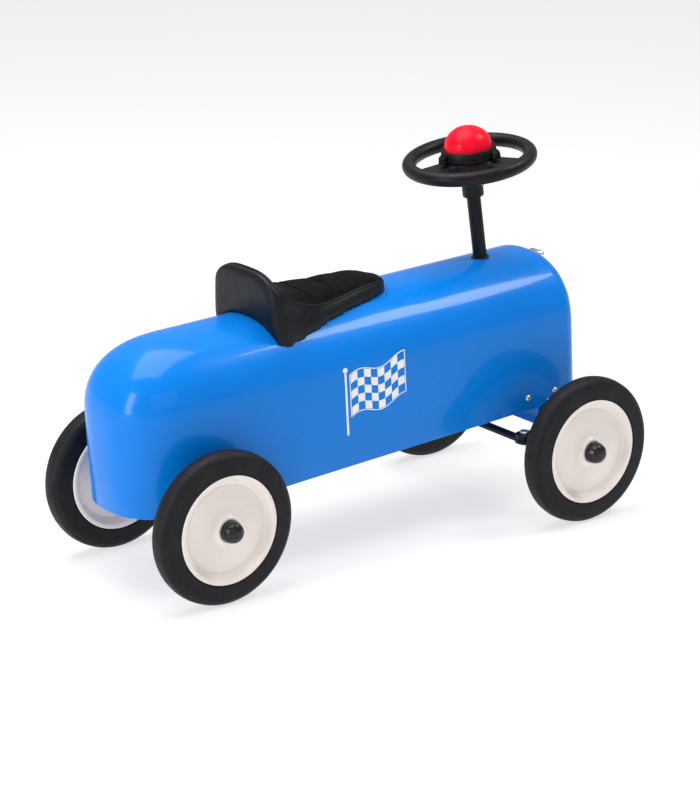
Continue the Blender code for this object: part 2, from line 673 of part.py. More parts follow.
def make_brackets():
    x_range = (REAR_X + 0.436, REAR_X + 0.494)
    front = saddle("front_saddle", x_range, SADDLE_HALF, SADDLE_Z, "blue_paint")
    ends = ((0, 0, -0.17), (0, 0, -0.12))
    cut(front, rod("saddle_bush_cutter", *ends, BUSH_R + GAP, matrix=STEER_FRAME))
    make_side_screws("front", FRONT_SCREWS, front, SADDLE_HALF - PLATE - 0.002)
    x_range = (REAR_X - 0.020, REAR_X + 0.022)
    rear = saddle("rear_saddle", x_range, REAR_SADDLE_HALF, REAR_SADDLE_Z, "blue_paint")
    through = ((REAR_X, -0.09, TYRE_R), (REAR_X, 0.09, TYRE_R))
    cut(rear, rod("rear_axle_hole_cutter", *through, AXLE_R + GAP))
    make_side_screws("rear", REAR_SCREWS, rear, REAR_SADDLE_HALF - PLATE - 0.002)


# ---- rear axle and wheels -------------------------------------------------------------------------
def make_rear_axle():
    end = REAR_TRACK_HALF + HUB_HALF + 0.003
    rod("rear_axle", (REAR_X, -end, TYRE_R), (REAR_X, end, TYRE_R), AXLE_R, "zinc")
    length = REAR_TRACK_HALF - HUB_HALF - REAR_SADDLE_HALF - 2 * GAP
    inner = AXLE_R + GAP
    for side, word in ((-1, "right"), (1, "left")):
        start = side * (REAR_SADDLE_HALF + GAP + length / 2)
        place = Matrix.Translation((REAR_X, start, TYRE_R)) @ Matrix.Rotation(math.pi / 2, 4, "X")
        half = length / 2
        profile = ((inner, half), (0.008, half), (0.008, -half), (inner, -half))
        turned(f"rear_spacer_{word}", profile, "black_plastic", 20, place, closed=True)


RIM_HALF_PROFILE = (
    (AXLE_R + GAP, HUB_HALF),
    (0.0150, HUB_HALF),
    (0.0185, 0.0074),
    (0.0490, 0.0064),
    (0.0550, WHEEL_HALF),
    (RIM_R, 0.0140),
    (RIM_R, 0.0129),
    (0.0572, 0.0124),
)
RIM_INSIDE = (
    (AXLE_R + GAP, 0.0050),
    (0.0140, 0.0050),
    (0.0490, 0.0049),
    (0.0540, 0.0118),
    (0.0557, 0.0118),
)
TYRE_HALF_PROFILE = (
    (0.0575, 0.0119),
    (0.0611, 0.0123),
    (0.0613, 0.0134),
    (0.0780, 0.0126),
    (0.0832, 0.0095),
    (TYRE_R, 0.0040),
)
CAP_PROFILE = (
    (0.0, 0.0165),
    (0.0060, 0.0153),
    (0.0102, 0.0118),
    (0.0124, 0.0065),
    (0.0126, 0.0),
    (AXLE_R + GAP, 0.0),
    (AXLE_R + GAP, 0.0050),
    (0.0, 0.0050),
)


def both_sides(half_profile):
    return half_profile + tuple((radius, -height) for radius, height in half_profile[::-1])


def make_wheel(label, x, y):
    """A tyre on a hollow disc rim, and the cap on the axle's end, with their axis along Y."""
    outward = 1 if y > 0 else -1
    place = Matrix.Translation((x, y, TYRE_R)) @ Matrix.Rotation(-outward * math.pi / 2, 4, "X")
    turned(f"tyre_{label}", both_sides(TYRE_HALF_PROFILE), "tyre_rubber", 36, place, closed=True)
    inside = both_sides(RIM_INSIDE[::-1])
    rim = both_sides(RIM_HALF_PROFILE) + inside[5:] + inside[:5]
    turned(f"rim_{label}", rim, "cream_enamel", 28, place, closed=True)
    cap_place = place @ Matrix.Translation((0, 0, HUB_HALF + GAP))
    turned(f"hub_cap_{label}", CAP_PROFILE, "black_plastic", 20, cap_place)


make_seat()
make_body()
make_grille()
make_column()
make_steering_wheel()
make_horn()
make_front_axle()
make_tie_rod()
make_brackets()
make_rear_axle()
for axle, wheel_x, track in (("rear", REAR_X, REAR_TRACK_HALF), ("front", FRONT_X, FRONT_TRACK_HALF)):
    make_wheel(f"{axle}_right", wheel_x, -track)
    make_wheel(f"{axle}_left", wheel_x, track)
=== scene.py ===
"""Looks of a toddler's foot-to-floor racing car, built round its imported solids."""

import json
import math

import bmesh
import bpy
from mathutils import Matrix, Vector
from mathutils.bvhtree import BVHTree


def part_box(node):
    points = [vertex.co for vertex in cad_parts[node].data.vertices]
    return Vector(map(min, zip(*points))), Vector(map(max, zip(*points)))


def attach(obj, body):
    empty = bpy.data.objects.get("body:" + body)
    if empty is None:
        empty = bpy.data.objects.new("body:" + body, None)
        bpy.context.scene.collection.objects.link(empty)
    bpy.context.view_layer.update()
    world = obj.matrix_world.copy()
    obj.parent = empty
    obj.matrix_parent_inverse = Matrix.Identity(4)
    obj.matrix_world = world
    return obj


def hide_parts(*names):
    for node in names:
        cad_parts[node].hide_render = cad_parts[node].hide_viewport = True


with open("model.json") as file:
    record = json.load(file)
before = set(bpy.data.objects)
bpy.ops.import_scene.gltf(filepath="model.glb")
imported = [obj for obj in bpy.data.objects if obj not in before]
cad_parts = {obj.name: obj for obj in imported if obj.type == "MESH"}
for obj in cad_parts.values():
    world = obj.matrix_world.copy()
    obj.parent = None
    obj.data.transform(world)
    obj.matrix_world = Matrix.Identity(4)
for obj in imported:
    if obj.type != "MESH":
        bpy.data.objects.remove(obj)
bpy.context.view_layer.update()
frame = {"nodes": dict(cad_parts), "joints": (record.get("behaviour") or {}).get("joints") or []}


# ---- places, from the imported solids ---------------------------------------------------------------
def middle(node):
    low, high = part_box(node)
    return (low + high) / 2


REAR_X = middle("rear_axle").x
STEER = next(j for j in frame["joints"] if j["name"] == "steering_turn")
TILT = math.atan2(-STEER["axis"][0], STEER["axis"][2])
STEER_FRAME = Matrix.Translation(STEER["pos_m"]) @ Matrix.Rotation(-TILT, 4, "Y")
WHEEL_FRAME = STEER_FRAME @ Matrix.Translation((0, 0, 0.1128)) @ Matrix.Rotation(math.radians(-7), 4, "Z")
BODY_FRAME = Matrix.Translation((REAR_X, 0, 0.095)) @ Matrix.Rotation(math.radians(-3.3), 4, "Y")
SPOKES = (math.radians(180), math.radians(60), math.radians(-60))

BODY_HALF = 0.079
BODY_TAIL_X = -0.078
BODY_NOSE_X = 0.524
TAIL_H = 0.177
NOSE_H = 0.164
ARCH_H = 0.076
ARCH_POWER = 2.3
TAIL_LENGTH = 0.100
TAIL_POWER = 2.5
NOSE_EDGE_R = 0.020
NOSE_LIP = 0.010
SHEET = 0.0015


def body_height(x):
    share = (x - BODY_TAIL_X) / (BODY_NOSE_X - BODY_TAIL_X)
    return TAIL_H + (NOSE_H - TAIL_H) * share


def roof_z(x, y):
    share = max(0.0, 1.0 - (abs(y) / BODY_HALF) ** ARCH_POWER)
    return body_height(x) - ARCH_H + ARCH_H * share ** (1 / ARCH_POWER)


# ---- materials ------------------------------------------------------------------------------------
def surface(name, dark, light, rough, metallic=0.0, coat=0.0, patch=22.0, grain=(), edge=0.0, sheen=0.0,
            specular=0.5):
    """A Principled material whose colour and roughness drift over the surface.

    grain is a list of (kind, scale, strength, depth in metres, stretch) bumps, and edge is the radius by
    which the shading rounds sharp edges.
    """
    made = bpy.data.materials.new(name)
    made.use_nodes = True
    tree = made.node_tree
    join = tree.links.new
    shader = tree.nodes["Principled BSDF"]
    shader.inputs["Metallic"].default_value = metallic
    shader.inputs["Coat Weight"].default_value = coat
    shader.inputs["Coat Roughness"].default_value = 0.04
    shader.inputs["Sheen Weight"].default_value = sheen
    shader.inputs["Specular IOR Level"].default_value = specular
    place = tree.nodes.new("ShaderNodeTexCoord").outputs["Object"]

    def field(kind, scale, stretch=(1, 1, 1)):
        mapping = tree.nodes.new("ShaderNodeMapping")
        mapping.inputs["Scale"].default_value = stretch
        join(place, mapping.inputs["Vector"])
        if kind == "noise":
            node = tree.nodes.new("ShaderNodeTexNoise")
            node.inputs["Detail"].default_value = 4.0
            out = node.outputs["Fac"]
        else:
            node = tree.nodes.new("ShaderNodeTexVoronoi")
            node.feature = "DISTANCE_TO_EDGE" if kind == "cells" else "F1"
            out = node.outputs["Distance"]
        node.inputs["Scale"].default_value = scale
        join(mapping.outputs["Vector"], node.inputs["Vector"])
        return out

    drift = field("noise", patch)
    ramp = tree.nodes.new("ShaderNodeValToRGB")
    ramp.color_ramp.elements[0].position = 0.35
    ramp.color_ramp.elements[1].position = 0.68
    ramp.color_ramp.elements[0].color = (*dark, 1.0)
    ramp.color_ramp.elements[1].color = (*light, 1.0)
    join(drift, ramp.inputs["Fac"])
    join(ramp.outputs["Color"], shader.inputs["Base Color"])
    spread = tree.nodes.new("ShaderNodeMapRange")
    spread.inputs["From Min"].default_value = 0.3
    spread.inputs["From Max"].default_value = 0.7
    spread.inputs["To Min"].default_value = rough[0]
    spread.inputs["To Max"].default_value = rough[1]
    join(field("noise", patch * 3.7), spread.inputs["Value"])
    join(spread.outputs["Result"], shader.inputs["Roughness"])
    normal = None
    if edge:
        bevel = tree.nodes.new("ShaderNodeBevel")
        bevel.samples = 4
        bevel.inputs["Radius"].default_value = edge
        normal = bevel.outputs["Normal"]
    for kind, scale, strength, depth, stretch in grain:
        bump = tree.nodes.new("ShaderNodeBump")
        bump.inputs["Strength"].default_value = strength
        bump.inputs["Distance"].default_value = depth
        join(field(kind, scale, stretch), bump.inputs["Height"])
        if normal is not None:
            join(normal, bump.inputs["Normal"])
        normal = bump.outputs["Normal"]
    if normal is not None:
        join(normal, shader.inputs["Normal"])
    return made


EVEN = (1, 1, 1)
PAINT = surface(
    "blue_enamel", (0.0, 0.192, 0.70), (0.0, 0.206, 0.73), (0.27, 0.33), coat=0.22, patch=9,
    grain=[("noise", 260, 0.05, 0.0002, EVEN)], specular=0.12,
)
CHASSIS_PAINT = surface(
    "blue_enamel_bracket", (0.0, 0.175, 0.66), (0.0, 0.20, 0.74), (0.26, 0.4), coat=0.25, patch=14,
    grain=[("noise", 340, 0.1, 0.0002, EVEN)], edge=0.0006, specular=0.12,
)
CREAM = surface(
    "cream_enamel", (0.86, 0.79, 0.745), (0.90, 0.83, 0.79), (0.3, 0.4), coat=0.1, patch=18,
    grain=[("noise", 420, 0.08, 0.0002, EVEN)], specular=0.25,
)
TYRE = surface(
    "tyre_rubber", (0.007, 0.007, 0.009), (0.012, 0.012, 0.014), (0.45, 0.62), patch=40,
    grain=[("noise", 900, 0.25, 0.0002, EVEN), ("noise", 120, 0.12, 0.0003, EVEN)], specular=0.2,
)
MOULDED = surface(
    "black_moulding", (0.004, 0.004, 0.005), (0.008, 0.008, 0.009), (0.36, 0.48), patch=35,
    grain=[("noise", 1500, 0.35, 0.0001, EVEN)], edge=0.0005, specular=0.2,
)
GLOSS_BLACK = surface(
    "black_gloss_moulding", (0.008, 0.008, 0.009), (0.013, 0.013, 0.015), (0.16, 0.26), patch=60,
    grain=[("noise", 700, 0.08, 0.0001, EVEN)], specular=0.35,
)
POWDER = surface(
    "black_powder_coat", (0.003, 0.004, 0.006), (0.006, 0.007, 0.009), (0.33, 0.46), patch=30,
    grain=[("noise", 1100, 0.3, 0.00012, EVEN)], edge=0.0006, specular=0.18,
)
SKIRT_VINYL = surface(
    "seat_side_vinyl", (0.003, 0.004, 0.006), (0.006, 0.007, 0.010), (0.36, 0.5), patch=25,
    grain=[("cells", 900, 0.35, 0.0003, EVEN), ("noise", 60, 0.25, 0.0008, EVEN)], specular=0.22,
)
PAD_VINYL = surface(
    "seat_top_vinyl", (0.003, 0.003, 0.004), (0.007, 0.007, 0.008), (0.5, 0.68), patch=70, sheen=0.0,
    grain=[("cells", 620, 0.8, 0.0005, EVEN), ("noise", 220, 0.35, 0.0004, EVEN)], specular=0.04,
)
PIPING = surface(
    "seat_piping", (0.003, 0.003, 0.005), (0.006, 0.006, 0.008), (0.3, 0.42), patch=60,
    grain=[("noise", 800, 0.2, 0.0002, EVEN)], specular=0.2,
)
RED = surface(
    "red_rubber", (0.82, 0.001, 0.020), (0.88, 0.003, 0.026), (0.28, 0.38), patch=30,
    grain=[("noise", 900, 0.12, 0.0001, EVEN)], specular=0.14,
)
CHROME = surface(
    "chrome_plate", (0.80, 0.81, 0.83), (0.88, 0.89, 0.90), (0.05, 0.12), metallic=1.0, patch=15,
    grain=[("noise", 90, 0.03, 0.0003, EVEN)], edge=0.0006,
)
ZINC = surface(
    "zinc_plate", (0.50, 0.51, 0.53), (0.68, 0.69, 0.71), (0.2, 0.38), metallic=1.0, patch=90,
    grain=[("noise", 700, 0.2, 0.0001, (1, 6, 1))], edge=0.0004,
)
NYLON = surface(
    "nylon", (0.020, 0.020, 0.022), (0.030, 0.030, 0.033), (0.4, 0.55), patch=50,
    grain=[("noise", 900, 0.2, 0.0001, EVEN)], edge=0.0004,
)
MOTIF = surface(
    "white_print", (0.84, 0.86, 0.88), (0.90, 0.91, 0.93), (0.2, 0.3), coat=0.6, patch=40,
    grain=[("noise", 500, 0.05, 0.0001, EVEN)],
)


# ---- pieces ---------------------------------------------------------------------------------------
def piece(name, mesh, look, body, matrix=None, stands_for=(), smooth=None):
    """Puts a mesh in the scene on its body, in place of the solids it stands for."""
    if isinstance(mesh, bmesh.types.BMesh):
        made = bpy.data.meshes.new(name)
        bmesh.ops.recalc_face_normals(mesh, faces=mesh.faces)
        mesh.to_mesh(made)
        mesh.free()
        mesh = made
    if look is not None:
        mesh.materials.clear()
        mesh.materials.append(look)
    if smooth is not None:
        mesh.shade_smooth()
        mesh.set_sharp_from_angle(angle=math.radians(smooth))
    obj = bpy.data.objects.new(name, mesh)
    bpy.context.scene.collection.objects.link(obj)
    if matrix is not None:
        obj.matrix_world = matrix
    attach(obj, body)
    if stands_for:
        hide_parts(*stands_for)
    return obj


def helper(mesh):
    """An unshown object that holds a shape while a modifier uses it."""
    obj = bpy.data.objects.new("helper", mesh)
    bpy.context.scene.collection.objects.link(obj)
    return obj


def settled(obj):
    """The object's mesh with its modifiers applied; the object itself is removed."""
    bpy.context.view_layer.update()
    graph = bpy.context.evaluated_depsgraph_get()
    mesh = bpy.data.meshes.new_from_object(obj.evaluated_get(graph))
    bpy.data.objects.remove(obj)
    return mesh


def to_mesh(shape):
    made = bpy.data.meshes.new("shape")
    bmesh.ops.recalc_face_normals(shape, faces=shape.faces)
    shape.to_mesh(made)
    shape.free()
    return made


def rounded(corners, closed=False, steps=5):
    """Points of an outline whose corners (a, b, radius) are rounded."""
    points = []
    count = len(corners)
    for k, (a, b, radius) in enumerate(corners):
        here = Vector((a, b))
        if not radius or (not closed and k in (0, count - 1)):
            points.append((a, b))
            continue
        back = Vector(corners[k - 1][:2]) - here
        on = Vector(corners[(k + 1) % count][:2]) - here
        half = back.angle(on) / 2
        reach = min(radius / math.tan(half), 0.49 * min(back.length, on.length))
        back.normalize()
        on.normalize()
        centre = here + (back + on).normalized() * (reach / math.cos(half))
        start = here + back * reach - centre
        sweep = start.angle_signed(here + on * reach - centre)
        for s in range(steps + 1):
            turn = -sweep * s / steps
            c, n = math.cos(turn), math.sin(turn)
            points.append((centre.x + start.x * c - start.y * n, centre.y + start.x * n + start.y * c))
    return points


def turned(profile, steps=96, closed=False):
    """A bmesh of a (radius, height) profile turned about Z."""
    shape = bmesh.new()
    rings = []
    for radius, height in profile:
        if radius < 1e-7:
            rings.append([shape.verts.new((0, 0, height))] * steps)
            continue
        ring = []
        for k in range(steps):
            angle = 2 * math.pi * k / steps
            ring.append(shape.verts.new((radius * math.cos(angle), radius * math.sin(angle), height)))
        rings.append(ring)
    pairs = list(zip(rings, rings[1:]))
    if closed:
        pairs.append((rings[-1], rings[0]))
    for first, second in pairs:
        for k in range(steps):
            n = (k + 1) % steps
            corners = []
            for corner in (first[k], first[n], second[n], second[k]):
                if corner not in corners:
                    corners.append(corner)
            if len(corners) > 2:
                shape.faces.new(corners)
    return shape


def grid(shape, rows, around=False, closed=False):
    """Quads between rows of points."""
    made = [[shape.verts.new(point) for point in row] for row in rows]
    pairs = list(zip(made, made[1:]))
    if closed:
        pairs.append((made[-1], made[0]))
    for first, second in pairs:
        count = len(first)
        for k in range(count if around else count - 1):
            n = (k + 1) % count
            shape.faces.new((first[k], first[n], second[n], second[k]))


def add_rod(shape, start, end, radius, segments=32, radius_end=None):
    start, end = Vector(start), Vector(end)
    turn = (end - start).to_track_quat("Z", "Y").to_matrix().to_4x4()
    bmesh.ops.create_cone(
        shape, cap_ends=True, segments=segments, radius1=radius,
        radius2=radius if radius_end is None else radius_end,
        depth=(end - start).length, matrix=Matrix.Translation((start + end) / 2) @ turn,
    )


def add_block(shape, low, high, matrix=Matrix()):
    size = Vector(high) - Vector(low)
    place = Matrix.Translation((Vector(high) + Vector(low)) / 2) @ Matrix.Diagonal((*size, 1.0))
    bmesh.ops.create_cube(shape, size=1.0, matrix=matrix @ place)


def moulded(shape, voxel, rounds):
    """One moulding from overlapping shapes, with soft fillets where they meet."""
    obj = helper(to_mesh(shape))
    melt = obj.modifiers.new("melt", "REMESH")
    melt.mode = "VOXEL"
    melt.voxel_size = voxel
    ease = obj.modifiers.new("ease", "CORRECTIVE_SMOOTH")
    ease.smooth_type = "SIMPLE"
    ease.factor = 0.5
    ease.iterations = rounds
    ease.use_only_smooth = True
    mesh = settled(obj)
    mesh.shade_smooth()
    return mesh


def less(mesh, *cutters):
    """The mesh with each cutter's shape taken out of it."""
    obj = helper(mesh)
    tools = []
    for cutter in cutters:
        tool = helper(to_mesh(cutter))
        step = obj.modifiers.new("cut", "BOOLEAN")
        step.operation = "DIFFERENCE"
        step.solver = "EXACT"
        step.object = tool
        tools.append(tool)
    made = settled(obj)
    for tool in tools:
        bpy.data.objects.remove(tool)
    return made


def power_arc(count, power):
    """Quarter of a superellipse of unit size, from (1, 0) to (0, 1)."""
    points = []
    for k in range(count + 1):
        angle = math.pi / 2 * k / count
        across = math.cos(angle) ** (2 / power) if k < count else 0.0
        points.append((across, math.sin(angle) ** (2 / power)))
    return points


# ---- body -----------------------------------------------------------------------------------------
def body_wall(x, inset, arc, foot=0.0):
    half = BODY_HALF - inset
    spring = body_height(x) - ARCH_H
    left = [(x, half, foot), (x, half, max(foot, spring * 0.5))]
    left += [(x, half * across, max(foot, spring + (ARCH_H - inset) * up)) for across, up in arc]
    return left + [(px, -py, pz) for px, py, pz in left[-2::-1]]


def make_body():
    arc = power_arc(36, ARCH_POWER)
    tail_x = BODY_TAIL_X + TAIL_LENGTH
    straight_end = BODY_NOSE_X - NOSE_EDGE_R
    barrel = []
    for k in range(13):
        barrel.append(body_wall(tail_x + (straight_end - tail_x) * k / 12, 0.0, arc))
    for k in range(1, 13):
        angle = math.pi / 2 * k / 12
        x = straight_end + NOSE_EDGE_R * math.sin(angle)
        barrel.append(body_wall(x, NOSE_EDGE_R * (1 - math.cos(angle)), arc))
    barrel.append(body_wall(BODY_NOSE_X, NOSE_EDGE_R + NOSE_LIP, arc))
    spring = body_height(tail_x) - ARCH_H
    plan = power_arc(28, TAIL_POWER)
    tail = []
    for side, back in plan + [(-side, back) for side, back in plan[-2::-1]]:
        foot = (tail_x - TAIL_LENGTH * back, BODY_HALF * side)
        row = [(*foot, 0.0), (*foot, spring * 0.5)]
        for across, up in arc:
            x = tail_x - TAIL_LENGTH * back * across
            row.append((x, BODY_HALF * side * across, spring + ARCH_H * up))
        tail.append(row)
    shape = bmesh.new()
    grid(shape, barrel)
    grid(shape, tail)
    bmesh.ops.remove_doubles(shape, verts=shape.verts, dist=0.00001)
    bmesh.ops.dissolve_degenerate(shape, dist=0.00001, edges=shape.edges)
    bmesh.ops.recalc_face_normals(shape, faces=shape.faces)

    # the bottom edge is rolled in under itself
    rim = [e for e in shape.edges if e.is_boundary and max(v.co.z for v in e.verts) < 1e-5]
    before = 0.0
    for inward, rise in ((0.0005, -0.0008), (0.0018, -0.0011), (0.0031, -0.0006), (0.0036, 0.0008)):
        grown = bmesh.ops.extrude_edge_only(shape, edges=rim)["geom"]
        rim = [g for g in grown if isinstance(g, bmesh.types.BMEdge)]
        for vert in {v for e in rim for v in e.verts}:
            if vert.co.x > tail_x:
                away = Vector((0.0, math.copysign(1.0, vert.co.y)))
            else:
                across = (vert.co.x - tail_x) / TAIL_LENGTH
                side = vert.co.y / BODY_HALF
                away = Vector((
                    math.copysign(abs(across) ** (TAIL_POWER - 1), across) / TAIL_LENGTH,
                    math.copysign(abs(side) ** (TAIL_POWER - 1), side) / BODY_HALF,
                )).normalized()
            if vert.co.x > straight_end:
                away = Vector((0.0, math.copysign(1.0, vert.co.y)))
            vert.co.x -= away.x * (inward - before)
            vert.co.y -= away.y * (inward - before)
            vert.co.z = rise
        before = inward
    obj = helper(to_mesh(shape))
    wall = obj.modifiers.new("sheet", "SOLIDIFY")
    wall.thickness = SHEET - 0.0003
    wall.offset = -1.0
    wall.use_even_offset = True
    mesh = settled(obj)
    to_body = BODY_FRAME.inverted()
    notch = middle("front_axle_beam")
    notch_cut = bmesh.new()
    add_rod(notch_cut, (notch.x, -0.1, 0.1114), (notch.x, 0.1, 0.1114), 0.0170, segments=64)
    column_cut = bmesh.new()
    add_rod(column_cut, (0, 0, -0.02), (0, 0, 0.02), 0.0105, segments=48)
    column_cut.transform(STEER_FRAME)
    for cutter in (notch_cut, column_cut):
        cutter.transform(to_body)
    mesh = less(mesh, notch_cut, column_cut)
    piece("body_panels", mesh, PAINT, "chassis", BODY_FRAME, ("body_shell",), smooth=40)


# ---- side motif: a plain chequered flag -------------------------------------------------------------
def make_motif(side, word):
    shape = bmesh.new()
    columns, rows, cell = 8, 5, 0.0092
    depth = 0.0001

    def spot(u, v):
        lift = 0.0042 * math.sin(u * 0.95 + 0.4) + 0.0010 * u
        return (0.196 + u * cell, v * cell + 0.056 + lift)

    def plate(points):
        outer = [shape.verts.new((x, BODY_HALF + depth, z)) for x, z in points]
        inner = [shape.verts.new((x, BODY_HALF - 0.0004, z)) for x, z in points]
        shape.faces.new(outer)
        shape.faces.new(inner[::-1])
        for k in range(len(points)):
            n = (k + 1) % len(points)
            shape.faces.new((outer[k], inner[k], inner[n], outer[n]))

    fine = 4
    for u in range(columns):
        for v in range(rows):
            if (u + v) % 2:
                continue
            lower = [spot(u + k / fine, v) for k in range(fine + 1)]
            upper = [spot(u + k / fine, v + 1) for k in range(fine, -1, -1)]
            plate(lower + upper)
    thin = 0.0016
    for v, out in ((0, -1), (rows, 1)):
        edge = [spot(k / fine, v) for k in range(columns * fine + 1)]
        far = [(x, z + out * thin) for x, z in edge[::-1]]
        plate([(x, z + out * 0.0006) for x, z in edge] + far)
    for u, out in ((0, -1), (columns, 1)):
        (x0, z0), (x1, z1) = spot(u, 0), spot(u, rows)
        plate([(x0 + out * 0.0006, z0 - thin), (x1 + out * 0.0006, z1 + thin),
               (x1 + out * thin, z1 + thin), (x0 + out * thin, z0 - thin)])
    pole = 0.1910
    plate([(pole - 0.0030, 0.036), (pole - 0.0004, 0.036), (pole - 0.0004, 0.1085), (pole - 0.0030, 0.1085)])
    plate([(pole - 0.0017 + 0.0031 * math.cos(a), 0.1110 + 0.0031 * math.sin(a))
           for a in [2 * math.pi * k / 24 for k in range(24)]])
    if side < 0:
        bmesh.ops.scale(shape, vec=(1, -1, 1), verts=shape.verts)
    piece(f"side_motif_{word}", shape, MOTIF, "chassis", BODY_FRAME)


# ---- wheels ---------------------------------------------------------------------------------------
TYRE_HALF = [
    (0.0575, 0.0117, 0.0), (0.0603, 0.0124, 0.0006), (0.0613, 0.0124, 0.0004), (0.0622, 0.0133, 0.0008),
    (0.0785, 0.0126, 0.006), (0.0838, 0.0085, 0.006), (0.0850, 0.0018, 0.004),
]
RIM_HALF = [
    (0.0053, 0.0131, 0.0), (0.0146, 0.0131, 0.0018), (0.0176, 0.0084, 0.0025), (0.0330, 0.0078, 0.01),
    (0.0476, 0.0062, 0.0012), (0.0490, 0.0050, 0.0008), (0.0503, 0.0062, 0.0010), (0.0537, 0.0080, 0.0030),
    (0.0556, 0.0141, 0.0014), (0.0596, 0.0143, 0.0010), (0.0607, 0.0130, 0.0007), (0.0598, 0.0121, 0.0006),
    (0.0573, 0.0118, 0.0),
]
CAP = [
    (0.0, 0.0164, 0.0), (0.0056, 0.0156, 0.004), (0.0100, 0.0122, 0.005), (0.0121, 0.0066, 0.004),
    (0.0124, 0.0018, 0.0006), (0.0127, 0.0014, 0.0003), (0.0127, 0.0002, 0.0003), (0.0053, 0.0002, 0.0),
    (0.0053, 0.0049, 0.0), (0.0, 0.0049, 0.0),
]


def both_sides(half, steps):
    upper = rounded(half, steps=steps)
    return upper + [(radius, -height) for radius, height in upper[::-1]]


def make_wheels():
    tyre_mesh = to_mesh(turned(both_sides(TYRE_HALF, 7), 128, closed=True))
    rim_mesh = to_mesh(turned(both_sides(RIM_HALF, 5), 112, closed=True))
    cap_mesh = to_mesh(turned(rounded(CAP, steps=5), 64))
    for mesh in (tyre_mesh, rim_mesh, cap_mesh):
        mesh.shade_smooth()
        mesh.set_sharp_from_angle(angle=math.radians(50))
    for axle in ("front", "rear"):
        for word, side in (("right", -1), ("left", 1)):
            label = f"{axle}_{word}"
            place = Matrix.Translation(middle(f"tyre_{label}"))
            place = place @ Matrix.Rotation(-side * math.pi / 2, 4, "X")
            wheel = f"wheel_{label}"
            piece(f"fine_tyre_{label}", tyre_mesh, TYRE, wheel, place, (f"tyre_{label}",))
            piece(f"fine_rim_{label}", rim_mesh, CREAM, wheel, place, (f"rim_{label}",))
            holder = f"stub_{word}" if axle == "front" else "chassis"
            cap_place = place @ Matrix.Translation((0, 0, 0.0136))
            piece(f"fine_cap_{label}", cap_mesh, GLOSS_BLACK, holder, cap_place,
                  (f"hub_cap_{label}",))


# ---- seat -----------------------------------------------------------------------------------------
# place along the body, half width, rise over the crown, drop at the edge, and how square the top is
SEAT_STATIONS = (
    (0.1142, 0.0560, 0.0500, 0.0150, 3.4),
    (0.1165, 0.0600, 0.0530, 0.0165, 3.4),
    (0.1240, 0.0628, 0.0530, 0.0175, 3.2),
    (0.1330, 0.0632, 0.0400, 0.0110, 3.0),
    (0.1480, 0.0614, 0.0240, 0.0040, 3.0),
    (0.1650, 0.0574, 0.0165, 0.0030, 3.0),
    (0.1900, 0.0514, 0.0140, 0.0040, 3.0),
    (0.2200, 0.0444, 0.0145, 0.0045, 3.0),
    (0.2500, 0.0380, 0.0155, 0.0040, 3.0),
    (0.2700, 0.0345, 0.0153, 0.0040, 3.0),
    (0.2820, 0.0295, 0.0140, 0.0040, 3.0),
    (0.2900, 0.0230, 0.0120, 0.0035, 3.0),
    (0.2960, 0.0145, 0.0088, 0.0025, 3.0),
    (0.2990, 0.0060, 0.0052, 0.0015, 3.0),
)
SEAT_BACK_X = 0.1142
SEAT_FRONT_X = 0.2990
PAD_FRONT_X = 0.2910
SEAMS = (0.181, 0.215, 0.251)
SEAM_PITCH = 0.035


def station(x):
    """The seat's section at a place along the body, eased between the stations."""
    last = len(SEAT_STATIONS) - 1
    for k in range(last):
        if x <= SEAT_STATIONS[k + 1][0] or k == last - 1:
            break
    p1, p2 = SEAT_STATIONS[k], SEAT_STATIONS[k + 1]
    p0, p3 = SEAT_STATIONS[max(k - 1, 0)], SEAT_STATIONS[min(k + 2, last)]
    t = (x - p1[0]) / (p2[0] - p1[0])
    made = []
    for n in range(1, 5):
        run = p2[0] - p1[0]
        m1 = (p2[n] - p0[n]) / (p2[0] - p0[0]) * run
        m2 = (p3[n] - p1[n]) / (p3[0] - p1[0]) * run
        value = (2 * t**3 - 3 * t**2 + 1) * p1[n] + (t**3 - 2 * t**2 + t) * m1
        made.append(value + (-2 * t**3 + 3 * t**2) * p2[n] + (t**3 - t**2) * m2)
    return made


def seat_ring(x):
    half, rise, drop, power = station(x)
    lift = 0.0003
    ring = [(x, half * k / 12, roof_z(x, half * k / 12) + lift) for k in range(-12, 13)]
    crown = body_height(x) + rise
    corner = crown - drop
    foot = roof_z(x, half) + lift
    for k in range(1, 7):
        t = k / 7
        bulge = 0.0012 * math.sin(math.pi * t)
        ring.append((x, half * (1 - 0.07 * t) + bulge, foot + (corner - 0.003 - foot) * t))
    top = []
    for k in range(25):
        a = 1 - 2 * k / 24
        share = abs(a) ** power
        top.append((x, half * 0.93 * math.copysign(abs(a) ** 0.85, a), crown - drop * share))
    ring += top
    return ring + [(px, -py, pz) for px, py, pz in ring[25:31][::-1]]


